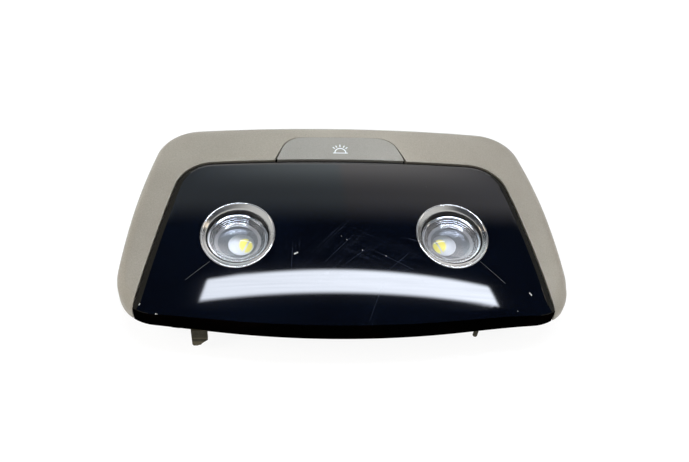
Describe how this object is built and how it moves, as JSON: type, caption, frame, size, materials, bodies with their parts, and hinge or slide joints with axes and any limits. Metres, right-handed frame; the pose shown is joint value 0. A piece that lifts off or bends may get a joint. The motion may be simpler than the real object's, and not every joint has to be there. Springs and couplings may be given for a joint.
{
  "type": "car dome light",
  "caption": "Roof-mounted car dome light: gloss panel with push-to-switch reading lenses, a grey bezel and a rocking dome button.",
  "frame": {"origin": "middle of the flat back of the rear cover, on the surface that the light rests on", "axes": "+X to the right along the long side, +Y from the front edge towards the button side, +Z out of the face"},
  "size_m": [0.1878, 0.1032, 0.0366],
  "materials": {
    "grey_paint": "satin metallic grey paint on a moulding",
    "button_grey": "satin metallic grey paint",
    "gloss_black": "polished black with fine scratches",
    "grey_moulding": "bare warm grey moulding",
    "chrome": "bright plated",
    "clear_lens": "clear optical plastic",
    "black_plastic": "fine moulded black",
    "led": "yellow phosphor over a white package",
    "board_green": "solder resist on laminate",
    "switch_white": "natural white moulding",
    "tinned_metal": "tinned contacts",
    "screw_steel": "zinc plated steel",
    "can_aluminium": "plain can"
  },
  "bodies": {
    "housing": {"bezel": "grey_paint", "front_panel": "gloss_black", "carrier_frame": "grey_moulding", "trim_ring_left": "chrome", "trim_ring_right": "chrome", "led_left": "led", "led_right": "led", "circuit_board": "board_green", "button_switch": "black_plastic", "switch_left": "black_plastic", "switch_right": "black_plastic", "icon_light_guide": "clear_lens", "icon_led": "led", "rear_cover": "black_plastic", "connector_shell": "switch_white", "connector_pins": "tinned_metal", "board_screws": "screw_steel", "cover_screws": "screw_steel", "spring_clip_left": "screw_steel", "spring_clip_right": "screw_steel", "driver_chip": "black_plastic", "capacitors": "can_aluminium", "resistors": "black_plastic", "power_coil": "black_plastic"},
    "button": {"dome_button": "button_grey"},
    "button_plunger_body": {"button_plunger": "switch_white"},
    "left_lens": {"lens_left": "clear_lens", "lens_sleeve_left": "black_plastic"},
    "right_lens": {"lens_right": "clear_lens", "lens_sleeve_right": "black_plastic"},
    "left_plunger_body": {"plunger_left": "switch_white"},
    "right_plunger_body": {"plunger_right": "switch_white"}
  },
  "joints": [
    {"name": "button_press", "type": "hinge", "parent": "housing", "child": "button", "pos_m": [0, 0.0449, 0.0286], "axis": [1, 0, 0], "range_deg": [0, 2.2], "stiffness_Nm_per_rad": 6},
    {"name": "button_plunger_travel", "type": "slide", "parent": "housing", "child": "button_plunger_body", "axis": [0, 0, -1], "range_m": [0, 0.0006]},
    {"name": "left_lens_push", "type": "slide", "parent": "housing", "child": "left_lens", "axis": [0, 0, -1], "range_m": [0, 0.0005], "stiffness_N_per_m": 2000},
    {"name": "right_lens_push", "type": "slide", "parent": "housing", "child": "right_lens", "axis": [0, 0, -1], "range_m": [0, 0.0005], "stiffness_N_per_m": 2000},
    {"name": "left_plunger_travel", "type": "slide", "parent": "housing", "child": "left_plunger_body", "axis": [0, 0, -1], "range_m": [0, 0.0006]},
    {"name": "right_plunger_travel", "type": "slide", "parent": "housing", "child": "right_plunger_body", "axis": [0, 0, -1], "range_m": [0, 0.0006]}
  ],
  "couplings": [
    {"joint": "button_plunger_travel", "follows": "button_press", "m_per_rad": 0.0118},
    {"joint": "left_plunger_travel", "follows": "left_lens_push", "ratio": 1},
    {"joint": "right_plunger_travel", "follows": "right_lens_push", "ratio": 1}
  ]
}
